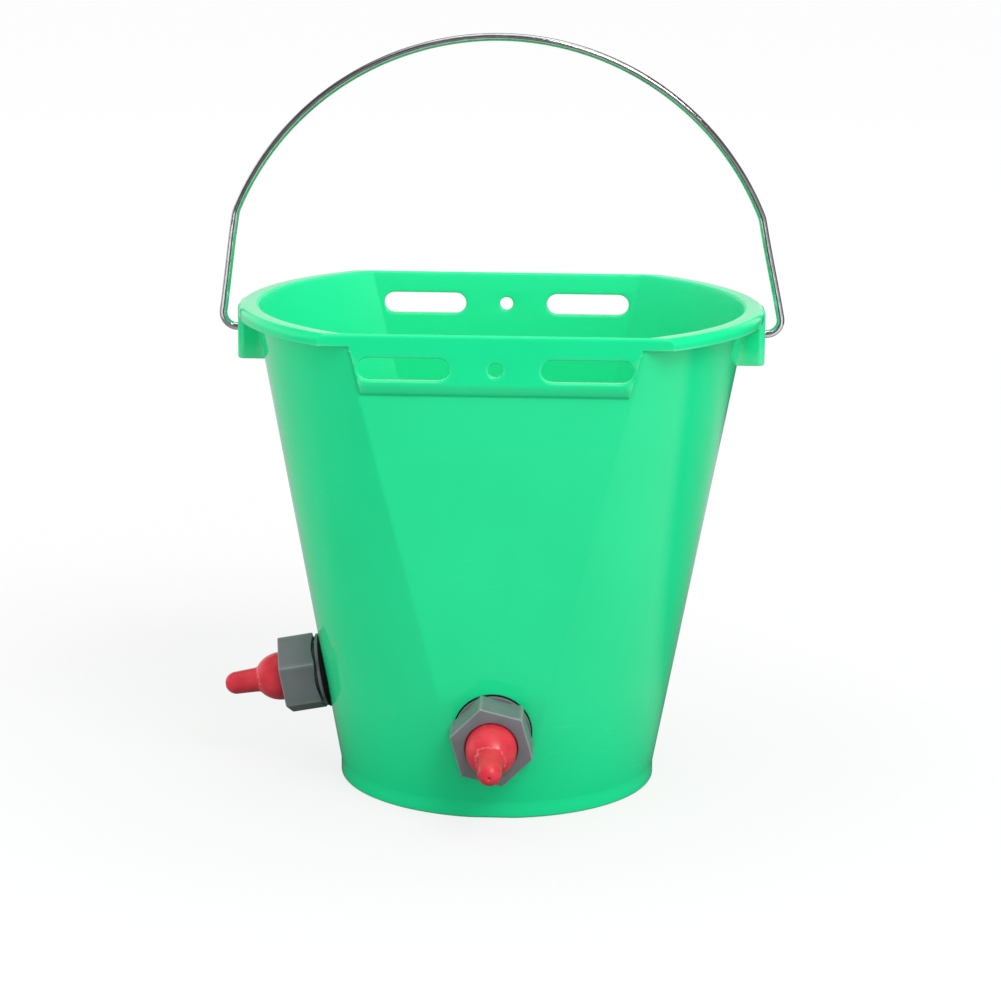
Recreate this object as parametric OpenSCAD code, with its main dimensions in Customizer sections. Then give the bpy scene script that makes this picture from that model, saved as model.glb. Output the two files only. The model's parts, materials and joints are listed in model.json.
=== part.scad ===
// Bucket with screw-in teats for feeding lambs, in millimetres.
// Origin: middle of the base's underside. +Z up, one flat and its teat face -Y, the other teat faces -X.

/* [Bucket] */
// Height of the bucket to the top of the rim
bucket_h = 280; // [220:1:340]
// Outer radius of the round wall at the base
base_r = 90.5; // [75:0.5:105]
// Outer radius of the round wall at the rim
mouth_r = 141.6; // [120:0.1:160]
// Width of each flat side at the base
base_flat_w = 25; // [10:1:60]
// Width of each flat side at the rim
mouth_flat_w = 166; // [140:1:190]
// Thickness of the wall
wall_t = 2.5; // [1.5:0.1:4]
// Thickness of the floor
floor_t = 3; // [2:0.1:6]

/* [Rim] */
// How far the rim stands out from the round wall
rim_overhang = 8.7; // [5:0.1:14]
// Height of the rim's skirt
rim_skirt_h = 7; // [5:0.5:14]
// Thickness of the rim's top and skirt
rim_t = 2.5; // [1.5:0.1:4]
// How far the rim and the slotted strips stand proud of the flats
strip_proud = 1; // [0.5:0.1:5]

/* [Hanging strips] */
// Height of the slotted strip's upright face
strip_h = 27; // [23:0.5:40]
// Height of the slope under the strip
strip_slope_h = 7; // [2:0.5:8]
// Distance of the strip's sides from the flat's edges
strip_inset = 2; // [0.5:0.1:6]
// Length of a hanging slot
slot_l = 50; // [35:0.5:60]
// Width of a hanging slot
slot_w = 12.5; // [8:0.5:15]
// Distance of a slot's outer end from the strip's side
slot_margin = 1.6; // [1:0.1:5]
// Depth of the slots' middle line under the rim's top
slot_drop = 18.9; // [15:0.1:22]
// Diameter of the screw hole between the slots
hole_d = 8; // [4:0.5:12]

/* [Bail ears] */
// Width of an ear
ear_w = 26; // [18:1:40]
// How far an ear's face stands proud of the rim
ear_proud = 0.5; // [0.2:0.1:2]
// Thickness of an ear's plate and webs
ear_t = 2.5; // [1.5:0.1:4]
// Radius of an ear's upright edges
ear_edge_r = 4; // [2.5:0.5:8]
// Depth of an ear below the bail's pivot
ear_below = 16.6; // [8:0.1:20]

/* [Bail] */
// Diameter of the wire
wire_d = 4.5; // [3:0.1:6]
// Depth of the bail's pivot under the rim's top
pivot_drop = 16.2; // [14:0.1:24]
// Radial clearance of the wire in the ears
bail_clear = 0.1; // [0.01:0.01:0.1]
// Length of the wire inside an ear
bail_inside = 9; // [6:0.5:10]
// Length of straight wire between an ear and the first bend
bail_side_gap = 1.2; // [0.5:0.1:6]
// Radius of the bend beside the ear
foot_bend_r = 8; // [5:0.5:20]
// Lean of the bail's legs, in degrees
leg_lean = 9.7; // [0:0.1:15]
// Length of a bail's straight leg
leg_l = 55.7; // [30:0.1:80]
// Turn of the knee between leg and bow, in degrees
knee_turn = 13.6; // [5:0.1:25]
// Radius of the knee
knee_bend_r = 20; // [10:1:40]
// How much thinner the wire is where it is bent tightly
bend_thin = 0.02; // [0.01:0.01:0.1]

/* [Teat units] */
// Height of the front unit's hole in the wall
front_unit_z = 52.3; // [45:0.1:120]
// Height of the left unit's hole in the wall
left_unit_z = 59.7; // [45:0.1:120]
// Turn of the front cap nut about its axis, in degrees
front_nut_turn = 45.5; // [0:0.5:60]
// Turn of the left cap nut about its axis, in degrees
left_nut_turn = 54; // [0:0.5:60]

/* [Teat] */
// Radius of the teat's clamped flange
flange_r = 17.5; // [16.5:0.1:20]
// Thickness of the teat's flange
flange_t = 3; // [2:0.1:5]
// Radius of the teat's bulb
bulb_r = 14.2; // [12.5:0.1:15]
// Length of the bulb's rounded part
bulb_l = 16; // [12:0.5:22]
// How far the bulb's rounding starts ahead of the cap nut
bulb_lead = 1.7; // [0.5:0.1:5]
// Radius of the nipple where it leaves the bulb
nipple_root_r = 7.2; // [5:0.1:9]
// Radius of the nipple's round end
nipple_tip_r = 6.6; // [4:0.1:8]
// Length of the nipple
nipple_l = 20.2; // [14:0.1:30]
// Radius of the sleeve inside the valve
sleeve_r = 12; // [9:0.1:13]
// Length of the sleeve inside the valve
sleeve_l = 8.3; // [4:0.1:10]
// Thickness of the teat's rubber
teat_t = 2.2; // [1.2:0.1:3]
// Radius of the milk hole in the tip
milk_hole_r = 0.8; // [0.4:0.1:1.5]

/* [Valve] */
// Thickness of the gasket outside the wall
gasket_t = 1; // [0.5:0.1:3]
// How far the gasket stands out past the valve's collar
gasket_lip = 0.7; // [0.3:0.1:2]
// Radius of the valve's collar
collar_r = 21.5; // [20:0.1:26]
// Thickness of the valve's collar
collar_t = 2; // [2:0.1:5]
// Length of the threaded spigot that carries the cap nut
spigot_l = 16; // [13:0.5:22]
// Radius of the threaded stem through the wall
stem_r = 13.9; // [13.5:0.1:16]
// Length of the stem behind the wall's outer face
stem_l = 24; // [22:0.5:34]
// Clearance of threads and sliding pieces
thread_clear = 0.3; // [0.2:0.05:0.6]

/* [Nuts and washer] */
// Wall of the cap nut at its flats
nut_wall = 2.95; // [2:0.05:5]
// Thickness of the cap nut's lip
lip_t = 3; // [2:0.1:5]
// Clearance of the bulb in the cap nut's lip
lip_clear = 0.4; // [0.3:0.05:1]
// Gap between the cap nut and the collar
nut_gap = 1; // [0.3:0.1:3]
// Thickness of the washer inside the wall
washer_t = 2.9; // [2.6:0.1:4]
// Radius of the washer inside the wall
washer_r = 19.5; // [17.5:0.1:20.5]
// Wall of the lock nut at its flats
lock_wall = 3.8; // [2.5:0.1:5]
// Height of the lock nut
lock_h = 8; // [5:0.5:10]

/* [Check ball] */
// Radius of the ball
ball_r = 7; // [5:0.1:7.5]
// Gap round the ball for the milk
ball_gap = 1.5; // [1:0.1:2]
// Travel of the ball between seat and cage
ball_travel = 4; // [2:0.1:5]
// Clearance of the ball at each end of its travel
ball_clear = 0.3; // [0.2:0.05:0.5]
// Radius of the inlet behind the ball
inlet_r = 4; // [2.5:0.1:4.5]
// Length of the inlet
inlet_l = 6.5; // [3:0.5:7]
// Thickness of the ball's cage
cage_t = 3; // [1.5:0.1:4]
// Width of the shoulder that carries the cage
cage_ledge = 1.5; // [0.8:0.1:2]
// Clearance of the cage in its bore
cage_clear = 0.05; // [0.02:0.01:0.1]
// Width of the cage's ring and cross bars
cage_bar_w = 2.4; // [1.5:0.1:3]

/* [Hidden] */
$fn = 96;

green = "#28DC8C";
grey = "#5F6E6E";
red = "#C83746";
black = "#1E1E1E";
steel = "#A0A5AA";
white = "#E6E6E1";

// Steps along each rounded side of the bucket, along an ear's edge, and along the teat's curves
wall_steps = 48;
edge_steps = 6;
curve_steps = 12;
// How far a cutting shape runs past the face that it cuts
over = 1;
// How far the wire's full stretches run into its tight bends
bend_lap = 0.1;

// Bucket: the flats' distances from the middle follow from their widths
base_flat_y = sqrt(base_r ^ 2 - (base_flat_w / 2) ^ 2);
mouth_flat_y = sqrt(mouth_r ^ 2 - (mouth_flat_w / 2) ^ 2);
flat_tilt = atan((mouth_flat_y - base_flat_y) / bucket_h);
round_tilt = atan((mouth_r - base_r) / bucket_h);

function between(low, high, z) = low + (high - low) * z / bucket_h;
function round_x(z) = between(base_r, mouth_r, z);
function flat_y(z) = between(base_flat_y, mouth_flat_y, z);
function flat_edge_x(z) = between(base_flat_w / 2, mouth_flat_w / 2, z);

// Rim, strips and ears
rim_r = mouth_r + rim_overhang;
strip_y = mouth_flat_y + strip_proud;
strip_low_z = bucket_h - strip_h;
slot_z = bucket_h - slot_drop;
slot_x = flat_edge_x(slot_z) - strip_inset - slot_margin - slot_l / 2;
ear_x = rim_r + ear_proud;
ear_h = pivot_drop + ear_below;
ear_low_z = bucket_h - ear_h;

// Bail: points of the wire's middle line on the +X side, seen from the front, measured from the pivot
pivot_z = bucket_h - pivot_drop;
wire_r = wire_d / 2;
knee_lean = leg_lean + knee_turn;
foot_mid = [ear_x + bail_side_gap, foot_bend_r];
leg_start = foot_mid + foot_bend_r * [cos(leg_lean), sin(leg_lean)];
leg_end = leg_start + leg_l * [-sin(leg_lean), cos(leg_lean)];
knee_mid = leg_end - knee_bend_r * [cos(leg_lean), sin(leg_lean)];
knee_end = knee_mid + knee_bend_r * [cos(knee_lean), sin(knee_lean)];
bow_r = knee_end.x / cos(knee_lean);
bow_mid_z = knee_end.y - bow_r * sin(knee_lean);

// Teat unit: stations along its axis, outwards from the wall's outer face
collar_face = gasket_t + collar_t;
spigot_end = collar_face + spigot_l;
flange_face = spigot_end + flange_t;
nut_face = flange_face + lip_t;
nut_back = collar_face + nut_gap;
bulb_mid = nut_face + bulb_lead;
sleeve_end = spigot_end - sleeve_l;
washer_face = -wall_t - washer_t;

// Radii that fit one another
spigot_r = flange_r;
nut_bore_r = spigot_r + thread_clear;
nut_flat_r = nut_bore_r + nut_wall;
lip_hole_r = bulb_r + lip_clear;
socket_r = sleeve_r + thread_clear;
stem_hole_r = stem_r + thread_clear;
lock_flat_r = stem_hole_r + lock_wall;

// Where the nipple leaves the bulb's rounding, and the teat's hollow inside it
nipple_start = bulb_mid + bulb_l * sqrt(1 - (nipple_root_r / bulb_r) ^ 2);
nipple_end = nipple_start + nipple_l;
hollow_r = bulb_r - teat_t;
hollow_l = bulb_l - teat_t;
throat_r = sleeve_r - teat_t;
duct_r = nipple_root_r - teat_t;
duct_end = nipple_end - nipple_tip_r;

// Check ball: seat cone at 45 degrees, ball seated and ball at the cage
chamber_r = ball_r + ball_gap;
cage_r = chamber_r + cage_ledge;
seat_low = inlet_l - stem_l;
seat_high = seat_low + chamber_r - inlet_r;
ball_seated = seat_low - inlet_r + sqrt(2) * (ball_r + ball_clear);
ball_open = ball_seated + ball_travel;
cage_back = ball_open + ball_r + ball_clear;

// One ring of points round the bucket at a height on the straight lines between base and mouth outlines
function outline(r, y, z) = [
    for (side = [0, 180], i = [0:wall_steps])
        let (half = asin(y / r), turn = side - half + 2 * half * i / wall_steps)
        [r * cos(turn), r * sin(turn), z]
];

// Solid between two heights, its sides straight from the base outline to the mouth outline, drawn in by inset
module tapered_form(inset, low_z, high_z) {
    base = outline(base_r - inset, base_flat_y - inset, 0);
    mouth = outline(mouth_r - inset, mouth_flat_y - inset, bucket_h);
    count = len(base);
    low = [for (i = [0:count - 1]) between(base[i], mouth[i], low_z)];
    high = [for (i = [0:count - 1]) between(base[i], mouth[i], high_z)];
    polyhedron(
        points = concat(low, high),
        faces = concat(
            [[for (i = [0:count - 1]) i]],
            [[for (i = [0:count - 1]) 2 * count - 1 - i]],
            [for (i = [0:count - 1]) [i, count + i, count + (i + 1) % count]],
            [for (i = [0:count - 1]) [i, count + (i + 1) % count, (i + 1) % count]]
        )
    );
}

module outer_form() {
    tapered_form(0, 0, bucket_h);
}

module inner_form() {
    tapered_form(wall_t, floor_t, bucket_h + over);
}

// A block across the whole bucket in X, between two heights, as deep as y on each side
module across(y, low_z, high_z) {
    translate([-ear_x, -y, low_z])
        cube([2 * ear_x, 2 * y, high_z - low_z]);
}

// Turned-down rim, cut straight along the flats
module rim() {
    difference() {
        intersection() {
            translate([0, 0, bucket_h - rim_skirt_h])
                cylinder(r = rim_r, h = rim_skirt_h);
            across(strip_y, bucket_h - rim_skirt_h, bucket_h);
        }
        intersection() {
            translate([0, 0, bucket_h - rim_skirt_h - over])
                cylinder(r = rim_r - rim_t, h = rim_skirt_h - rim_t + over);
            across(mouth_flat_y - wall_t, bucket_h - rim_skirt_h - over, bucket_h - rim_t);
        }
    }
}

// Upright strip along the top of the front flat, its sides leaning with the flat's edges
module strip() {
    slope_z = strip_low_z - strip_slope_h;
    back_y = flat_y(slope_z) - wall_t;
    top_x = flat_edge_x(bucket_h) - strip_inset;
    low_x = flat_edge_x(slope_z) - strip_inset;
    intersection() {
        rotate([90, 0, 0])
            linear_extrude(strip_y)
                polygon([[-top_x, bucket_h], [top_x, bucket_h], [low_x, slope_z], [-low_x, slope_z]]);
        rotate([90, 0, 90])
            translate([0, 0, -ear_x])
                linear_extrude(2 * ear_x)
                    polygon([
                        [-strip_y, bucket_h], [-strip_y, strip_low_z], [-flat_y(slope_z), slope_z],
                        [-back_y, slope_z], [-back_y, bucket_h]
                    ]);
    }
}

// Two slots and the screw hole between them, through front and back
module hanging_holes() {
    for (side = [-1, 1])
        translate([side * slot_x, 0, slot_z])
            rotate([90, 0, 0]) {
                for (end = [-1, 1])
                    translate([end * (slot_l - slot_w) / 2, 0, 0])
                        cylinder(d = slot_w, h = 2 * (strip_y + over), center = true);
                cube([slot_l - slot_w, slot_w, 2 * (strip_y + over)], center = true);
            }
    translate([0, 0, slot_z])
        rotate([90, 0, 0])
            cylinder(d = hole_d, h = 2 * (strip_y + over), center = true);
}

// Hollow ear under the rim on the +X side, open below, with the bail's hole in its face
module ear() {
    half = ear_w / 2;
    wall_x = round_x(ear_low_z) - wall_t;
    edge = [
        for (i = [0:edge_steps])
            let (turn = 90 * i / edge_steps)
            [ear_x - ear_edge_r * (1 - cos(turn)), half - ear_edge_r * (1 - sin(turn))]
    ];
    edge_back = [for (i = [0:edge_steps]) [edge[edge_steps - i].x, -edge[edge_steps - i].y]];
    difference() {
        translate([0, 0, ear_low_z])
            linear_extrude(ear_h)
                polygon(concat([[wall_x, -half]], edge_back, edge, [[wall_x, half]]));
        translate([wall_x, ear_t - half, ear_low_z - over])
            cube([ear_x - ear_t - wall_x, ear_w - 2 * ear_t, ear_h - rim_t + over]);
        translate([ear_x - ear_t - over, 0, pivot_z])
            rotate([0, 90, 0])
                cylinder(r = wire_r + bail_clear, h = ear_t + 2 * over);
    }
}

module bucket() {
    color(green)
        difference() {
            union() {
                outer_form();
                rim();
                for (turn = [0, 180])
                    rotate([0, 0, turn]) {
                        strip();
                        ear();
                    }
            }
            inner_form();
            hanging_holes();
            on_front() stem_hole();
            on_left() stem_hole();
        }
}

// One stretch of the bail's wire, bent about a point of its plane
module bend(mid, r, start, turn, thin = 0) {
    translate(mid)
        rotate([0, 0, start])
            rotate_extrude(angle = turn)
                translate([r, 0])
                    circle(r = wire_r - thin);
}

module bail() {
    bow_lap = bend_lap / bow_r * 180 / PI;
    color(steel)
        translate([0, 0, pivot_z])
            rotate([90, 0, 0]) {
                bend([0, bow_mid_z], bow_r, knee_lean - bow_lap, 180 - 2 * (knee_lean - bow_lap));
                for (side = [0, 1])
                    mirror([side, 0, 0]) {
                        translate([ear_x - bail_inside, 0, 0])
                            rotate([0, 90, 0])
                                cylinder(r = wire_r, h = bail_inside + bail_side_gap + bend_lap);
                        bend(foot_mid, foot_bend_r, -90, 90 + leg_lean, bend_thin);
                        translate(leg_start)
                            rotate([-90, 0, leg_lean])
                                translate([0, 0, -bend_lap])
                                    cylinder(r = wire_r, h = leg_l + 2 * bend_lap);
                        bend(knee_mid, knee_bend_r, leg_lean, knee_turn, bend_thin);
                    }
            }
}

// Places a teat unit's piece on the front flat, its own +Z pointing out of the wall
module on_front() {
    translate([0, -flat_y(front_unit_z), front_unit_z])
        rotate([90 + flat_tilt, 0, 0])
            children();
}

// Places a teat unit's piece on the round wall at the left, its own +Z pointing out of the wall
module on_left() {
    translate([-round_x(left_unit_z), 0, left_unit_z])
        rotate([0, -90 - round_tilt, 0])
            children();
}

module hexagon_rod(flat_r, low, high) {
    translate([0, 0, low])
        cylinder(r = flat_r / cos(30), h = high - low, $fn = 6);
}

module rod(r, low, high) {
    translate([0, 0, low])
        cylinder(r = r, h = high - low);
}

module stem_hole() {
    rod(stem_hole_r, -stem_l, stem_l);
}

// Quarter of an ellipse about a middle on the axis, between two radii, the wide end first
function quarter(mid, r, l, wide_r, narrow_r) = [
    for (i = [0:curve_steps])
        let (
            wide = asin(wide_r / r),
            narrow = asin(narrow_r / r),
            turn = wide + (narrow - wide) * i / curve_steps
        )
        [r * sin(turn), mid + l * cos(turn)]
];

// Hollow rubber teat, turned about its axis
module teat() {
    outside = concat(
        [[sleeve_r, sleeve_end], [sleeve_r, spigot_end], [flange_r, spigot_end], [flange_r, flange_face],
            [bulb_r, flange_face]],
        quarter(bulb_mid, bulb_r, bulb_l, bulb_r, nipple_root_r),
        quarter(duct_end, nipple_tip_r, nipple_tip_r, nipple_tip_r, milk_hole_r)
    );
    inside = concat(
        [[milk_hole_r, duct_end], [duct_r, duct_end]],
        [for (i = [0:curve_steps])
            quarter(bulb_mid, hollow_r, hollow_l, throat_r, duct_r)[curve_steps - i]],
        [[throat_r, sleeve_end]]
    );
    color(red)
        rotate_extrude()
            polygon(concat(outside, inside));
}

// Hexagonal cap nut, open at the back, its lip holding the teat's flange
module cap_nut(turn) {
    color(grey)
        rotate([0, 0, turn])
            difference() {
                hexagon_rod(nut_flat_r, nut_back, nut_face);
                rod(nut_bore_r, nut_back - over, flange_face);
                rod(lip_hole_r, flange_face - over, nut_face + over);
            }
}

// Stem, collar and spigot in one, with the ball's seat and chamber, the cage's bore and the teat's socket
module valve_body() {
    socket_floor = sleeve_end - thread_clear;
    color(grey)
        rotate_extrude()
            polygon([
                [inlet_r, -stem_l], [stem_r, -stem_l], [stem_r, gasket_t], [collar_r, gasket_t],
                [collar_r, collar_face], [spigot_r, collar_face], [spigot_r, spigot_end],
                [socket_r, spigot_end], [socket_r, socket_floor], [cage_r, socket_floor],
                [cage_r, cage_back], [chamber_r, cage_back], [chamber_r, seat_high], [inlet_r, seat_low]
            ]);
}

// Blank of the gasket outside the wall, thick enough to be cut to the wall's shape
module gasket_blank() {
    difference() {
        rod(collar_r + gasket_lip, -stem_l / 2, gasket_t);
        stem_hole();
    }
}

// Blank of the washer inside the wall, thick enough to be cut to the wall's shape
module washer_blank() {
    difference() {
        rod(washer_r, washer_face, 0);
        stem_hole();
    }
}

module lock_nut() {
    color(grey)
        difference() {
            hexagon_rod(lock_flat_r, washer_face - lock_h, washer_face);
            stem_hole();
        }
}

module check_ball() {
    color(white)
        translate([0, 0, ball_open])
            sphere(r = ball_r);
}

// Ring with a cross of bars that stops the ball and lets the milk past
module ball_cage() {
    ring_r = cage_r - cage_clear;
    color(white)
        translate([0, 0, cage_back])
            intersection() {
                rod(ring_r, 0, cage_t);
                union() {
                    difference() {
                        rod(ring_r + over, 0, cage_t);
                        rod(ring_r - cage_bar_w, -over, cage_t + over);
                    }
                    for (turn = [0, 90])
                        rotate([0, 0, turn])
                            translate([-ring_r, -cage_bar_w / 2, 0])
                                cube([2 * ring_r, cage_bar_w, cage_t]);
                }
            }
}

// What lies outside the bucket's wall, and what lies inside it
module cut_to_outside() {
    color(black)
        difference() {
            children();
            outer_form();
        }
}

module cut_to_inside() {
    color(black)
        intersection() {
            children();
            inner_form();
        }
}

bucket();
bail();

on_front() teat();  // front_teat
on_front() cap_nut(front_nut_turn);  // front_cap_nut
on_front() valve_body();  // front_valve_body
cut_to_outside() on_front() gasket_blank();  // front_gasket
cut_to_inside() on_front() washer_blank();  // front_washer
on_front() lock_nut();  // front_lock_nut
on_front() check_ball();  // front_check_ball
on_front() ball_cage();  // front_ball_cage

on_left() teat();  // left_teat
on_left() cap_nut(left_nut_turn);  // left_cap_nut
on_left() valve_body();  // left_valve_body
cut_to_outside() on_left() gasket_blank();  // left_gasket
cut_to_inside() on_left() washer_blank();  // left_washer
on_left() lock_nut();  // left_lock_nut
on_left() check_ball();  // left_check_ball
on_left() ball_cage();  // left_ball_cage
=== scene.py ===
"""Looks of a lamb feeder bucket with two teat units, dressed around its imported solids.

Shapes are worked out in millimetres as whole arrays and go into the meshes in metres, in the frame
of the solids: +Z up, the front flat towards -Y, the second teat towards -X, the bail about X.
"""
import json
import math

import bmesh
import bpy
import numpy as np
from mathutils import Matrix


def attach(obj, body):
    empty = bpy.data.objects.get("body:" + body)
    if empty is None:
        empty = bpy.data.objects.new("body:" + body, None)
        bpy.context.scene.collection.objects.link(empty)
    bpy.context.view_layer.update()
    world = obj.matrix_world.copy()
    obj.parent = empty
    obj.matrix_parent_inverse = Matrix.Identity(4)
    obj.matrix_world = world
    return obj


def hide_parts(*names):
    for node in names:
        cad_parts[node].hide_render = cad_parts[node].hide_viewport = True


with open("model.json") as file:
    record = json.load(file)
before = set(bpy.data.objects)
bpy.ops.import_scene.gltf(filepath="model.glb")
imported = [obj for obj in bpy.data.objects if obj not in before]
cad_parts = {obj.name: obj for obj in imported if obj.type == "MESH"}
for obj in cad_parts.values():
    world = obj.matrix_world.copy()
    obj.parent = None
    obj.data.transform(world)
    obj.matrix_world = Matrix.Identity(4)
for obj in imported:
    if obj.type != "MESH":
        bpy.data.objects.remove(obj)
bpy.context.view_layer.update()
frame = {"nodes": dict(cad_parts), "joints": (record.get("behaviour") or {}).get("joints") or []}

MM = 0.001
MERGE_M = 1e-7
SHARP, RUBBER_SHARP = 38, 50
EDGE_STEPS = 5

# Bucket: base and mouth outlines are circles cut by two flats, joined by straight lines
HEIGHT = 280.0
BASE_R, MOUTH_R = 90.5, 141.6
BASE_EDGE, MOUTH_EDGE = 12.5, 83.0
BASE_FLAT = math.sqrt(BASE_R**2 - BASE_EDGE**2)
MOUTH_FLAT = math.sqrt(MOUTH_R**2 - MOUTH_EDGE**2)
WALL, FLOOR = 2.5, 3.0
CREASE, INNER_CREASE = 1.5, 0.8
FOOT_ROUND, FOOT_MIDDLE, FOOT_UPRIGHT, FLOOR_ROUND = 1.5, 5.0, 9.0, 4.0

# Rim: turned down all round, rounded on top, cut straight along the flats
RIM_R = MOUTH_R + 8.7
SKIRT_Z = HEIGHT - 7.0
SKIRT_T, SKIRT_ROUND, SKIRT_EASE = 2.5, 0.8, 0.25
RIM_ROUND, FACET_ROUND, MOUTH_ROUND = 4.0, 1.8, 1.4
RIM_CORNER = 0.5
GROOVE_END, GROOVE_FADE, GROOVE_IN = 0.85, 0.12, 1.1

# Hanging strips: upright faces with two slots and a screw hole
STRIP_Y = MOUTH_FLAT + 1.0
STRIP_LOW, SLOPE_LOW = HEIGHT - 27.0, HEIGHT - 34.0
STRIP_INSET, STRIP_EDGE = 2.0, 0.55
SLOT_Z, SLOT_X = HEIGHT - 18.9, 49.641
SLOT_HALF, SLOT_R, HOLE_R, HOLE_EDGE = 18.75, 6.25, 4.0, 1.2
WINDOW_LOW, WINDOW_TOP = STRIP_LOW + 0.3, HEIGHT - 10.2

# Ears, with the steps round their lower edge, and bail
EAR_X, EAR_HALF, EAR_T, EAR_ROUND = RIM_R + 0.5, 13.0, 2.5, 4.0
EAR_LOW, EAR_TOP, EAR_TOP_ROUND = HEIGHT - 32.8, HEIGHT - 0.2, 3.6
EAR_SUNK, EAR_WINDOW, EAR_LEAST_ROUND = 1.2, 6.0, 0.4
EAR_EDGE_IN, EAR_EDGE_UP = np.array([2.2, 1.6, 0.9, 0.3]), np.array([0.9, 0.25, 0, 0, 0.25])
EAR_RUN = np.array([0, 0.25, 0.5, 0.75, 0.92])
PIVOT_Z = HEIGHT - 16.2
WIRE_R, WIRE_CHAMFER, WIRE_SIDES, PIVOT_CLEAR = 2.25, 0.5, 24, 0.1
BAIL_INSIDE, BAIL_SIDE_GAP = 9.0, 1.2
FOOT_BEND, LEG_LEAN, LEG_LENGTH = 8.0, math.radians(9.7), 55.7
KNEE_BEND, KNEE_TURN = 20.0, math.radians(13.6)
BAIL_SLACK, SLACK_HEIGHT = 2.3, 70.0

# Teat units: radii, and stations along the axis outwards from the wall
STEM_R, STEM_HOLE_R, STEM_LOW = 13.9, 14.2, -24.0
GASKET_T, GASKET_R, RING_EDGE = 1.0, 22.2, 0.3
COLLAR_R, COLLAR_FACE, COLLAR_EDGE = 21.5, 3.0, 0.45
SPIGOT_R, SPIGOT_END = 17.5, 19.0
NUT_FLAT, NUT_BACK, NUT_FACE, NUT_BORE, LIP_R = 20.75, 4.0, 25.0, 17.8, 14.6
NUT_CORNER, NUT_FRONT_EDGE, NUT_BACK_EDGE, CORNER_LEAST = 1.3, 0.9, 0.4, 0.3
NUT_SCALLOP, SCALLOP_TURN, BORE_LOW = 1.2, math.radians(25), NUT_BACK + 3.2
FLANGE_FACE, FLANGE_EDGE = 22.0, 0.4
SLEEVE_R, SLEEVE_END, THROAT_R = 12.0, 10.7, 9.8
BULB_R, BULB_LENGTH, BULB_MID = 14.2, 16.0, 26.7
HOLLOW_R, HOLLOW_LENGTH = 12.0, 13.8
ROOT_R, TIP_R, DUCT_R, MILK_R = 7.2, 6.6, 5.0, 0.4
NECK_OUT, NECK_RUN, SHANK_START, TIP_TURN = 1.3, 1.6, 3.0, 1.25
DUCT_END, TIP_END = 54.1, 60.7
ROOT_LINE_OUT, ROOT_REACH, DROOP_POWER = 1.1, 6.0, 1.1
SOCKET_R, SOCKET_FLOOR, SOCKET_EDGE = 12.3, 10.4, 0.3
CAGE_R, CAGE_BACK, CHAMBER_R, SEAT_TOP, SEAT_LOW, INLET_R = 10.0, 0.124, 8.5, -13.0, -17.5, 4.0
WASHER_R, WASHER_FACE = 19.5, -5.4
LOCK_FLAT, LOCK_LOW, LOCK_CORNER = 18.0, -13.4, 1.0
LOCK_OUTER_EDGE, LOCK_INNER_EDGE, LOCK_CHAMFER = 0.5, 0.8, 0.7
PITCH, THREAD_DEPTH, THREAD_FADE = 3.0, 0.9, 0.6
NUT_TURN = {"front": math.radians(45.5), "left": math.radians(24.0)}
LOCK_TURN = {"front": 0.0, "left": math.radians(30.0)}
WALL_BEND = {"front": 0.0, "left": 0.98375 / (2 * 98.6)}
TEAT_DROOP = {"front": 3.2, "left": 0.0}


# Mesh making

def steps(low, high, count):
    """Evenly spaced values with both ends."""
    return np.linspace(low, high, count)


def quarter(count):
    """Angles of a quarter turn."""
    return steps(0, math.pi / 2, count)


def sheet(grid, ring=False, loop=False, stay=None, turned=False, ends=""):
    """A grid of points in millimetres whose neighbours in rows and columns make quads. A ring closes each
    row, a loop each column. `stay` says which quads are made, `turned` turns them over, and `ends` names
    the open ends, rows or columns, that get a face of their own."""
    return {"grid": grid, "ring": ring, "loop": loop, "stay": stay, "turned": turned, "ends": ends}


def sheet_faces(part, first):
    """A sheet's faces as lists of point numbers, counted on from `first`."""
    shape = part["grid"].shape[:2]
    index = first + np.arange(shape[0] * shape[1]).reshape(shape)
    caps = {"": [], "rows": [index[0, ::-1], index[-1]],
            "columns": [index[:, 0], index[::-1, -1]]}[part["ends"]]
    if part["ring"]:
        index = np.concatenate([index, index[:, :1]], 1)
    if part["loop"]:
        index = np.concatenate([index, index[:1]], 0)
    quads = np.stack([index[:-1, :-1], index[:-1, 1:], index[1:, 1:], index[1:, :-1]], -1)
    quads = quads.reshape(-1, 4) if part["stay"] is None else quads[part["stay"]]
    way = -1 if part["turned"] else 1
    return quads[:, ::way].tolist() + [cap[::way].tolist() for cap in caps]


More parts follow.
